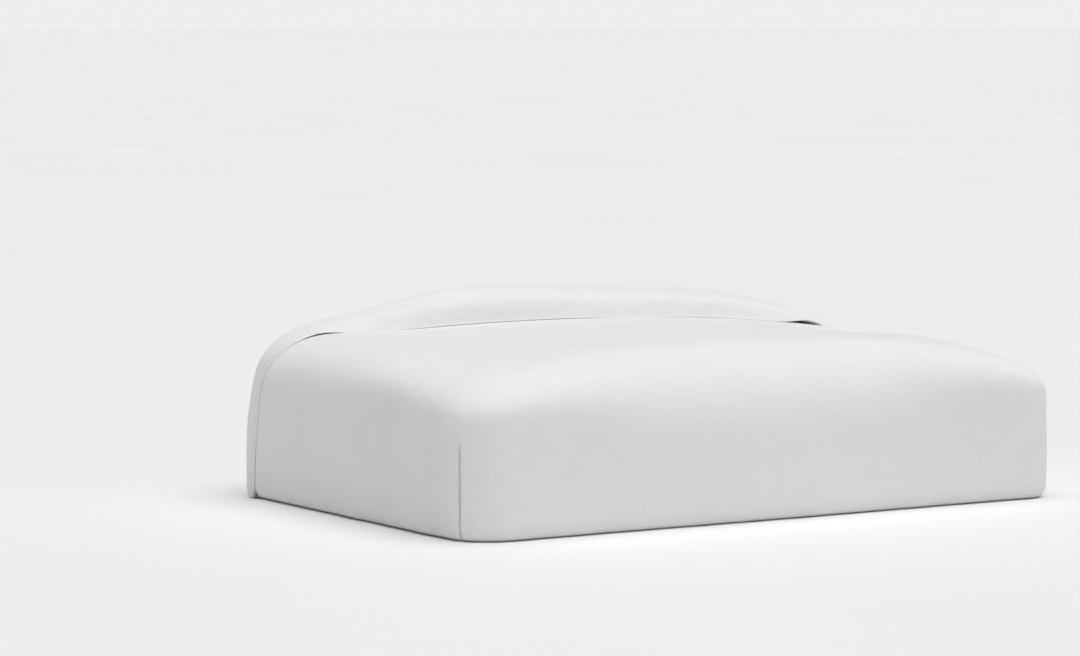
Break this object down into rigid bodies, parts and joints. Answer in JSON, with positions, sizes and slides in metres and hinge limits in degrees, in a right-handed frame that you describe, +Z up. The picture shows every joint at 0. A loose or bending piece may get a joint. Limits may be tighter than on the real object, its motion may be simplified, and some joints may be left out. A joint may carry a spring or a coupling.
{
  "type": "duvet",
  "caption": "Plump white duvet in a zipped cotton cover, draped over a bed's foot half with rounded shoulders and its head end folded back on top as a cuff.",
  "frame": {"origin": "centre of the duvet's bounding box, on the plane of its hems", "axes": "+X across the bed, to the right seen from the foot; +Y towards the head of the bed; +Z up"},
  "size_m": [1.606, 1.02, 0.4549],
  "materials": {
    "cover_cotton": "smooth matt white cotton percale",
    "shell_cotton": "downproof white cotton",
    "binding_tape": "twill tape",
    "baffle_mesh": "fine white mesh",
    "down_fill": "loose down clusters",
    "zip_tape": "woven polyester tape",
    "zip_coil": "moulded nylon coil",
    "zip_metal": "satin nickel",
    "label_satin": "blank satin ribbon"
  },
  "bodies": {
    "duvet": {"cover_top_panel": "cover_cotton", "cover_underside_panel": "cover_cotton", "cover_hem_left": "cover_cotton", "cover_hem_right": "cover_cotton", "cover_hem_foot": "cover_cotton", "cover_hem_cuff": "cover_cotton", "insert_top_shell": "shell_cotton", "insert_bottom_shell": "shell_cotton", "insert_binding_left": "binding_tape", "insert_binding_right": "binding_tape", "insert_binding_foot": "binding_tape", "insert_binding_cuff": "binding_tape", "baffle_lengthwise_1": "baffle_mesh", "baffle_lengthwise_2": "baffle_mesh", "baffle_lengthwise_3": "baffle_mesh", "baffle_lengthwise_4": "baffle_mesh", "baffle_lengthwise_5": "baffle_mesh", "baffle_crosswise_foot": "baffle_mesh", "baffle_crosswise_middle": "baffle_mesh", "baffle_crosswise_head": "baffle_mesh", "fill_foot_left": "down_fill", "fill_lower_left": "down_fill", "fill_upper_left": "down_fill", "fill_cuff_left": "down_fill", "fill_foot_mid_left": "down_fill", "fill_lower_mid_left": "down_fill", "fill_upper_mid_left": "down_fill", "fill_cuff_mid_left": "down_fill", "fill_foot_inner_left": "down_fill", "fill_lower_inner_left": "down_fill", "fill_upper_inner_left": "down_fill", "fill_cuff_inner_left": "down_fill", "fill_foot_inner_right": "down_fill", "fill_lower_inner_right": "down_fill", "fill_upper_inner_right": "down_fill", "fill_cuff_inner_right": "down_fill", "fill_foot_mid_right": "down_fill", "fill_lower_mid_right": "down_fill", "fill_upper_mid_right": "down_fill", "fill_cuff_mid_right": "down_fill", "fill_foot_right": "down_fill", "fill_lower_right": "down_fill", "fill_upper_right": "down_fill", "fill_cuff_right": "down_fill", "zip_placket_upper": "cover_cotton", "zip_placket_lower": "cover_cotton", "zip_tape_upper": "zip_tape", "zip_tape_lower": "zip_tape", "zip_coil_upper": "zip_coil", "zip_coil_lower": "zip_coil", "zip_end_stops": "zip_metal", "corner_ties": "binding_tape", "insert_rings": "binding_tape", "care_label": "label_satin"},
    "zip_slider": {"zip_slider": "zip_metal"},
    "zip_pull": {"zip_pull_tab": "zip_metal"}
  },
  "joints": [
    {"name": "zip_slide", "type": "slide", "parent": "duvet", "child": "zip_slider", "axis": [-1, 0, 0], "range_m": [0, 1.12]},
    {"name": "zip_pull_hinge", "type": "hinge", "parent": "zip_slider", "child": "zip_pull", "pos_m": [0.56, -0.47725, 0.045], "axis": [0, 0, -1], "range_deg": [0, 180]}
  ]
}
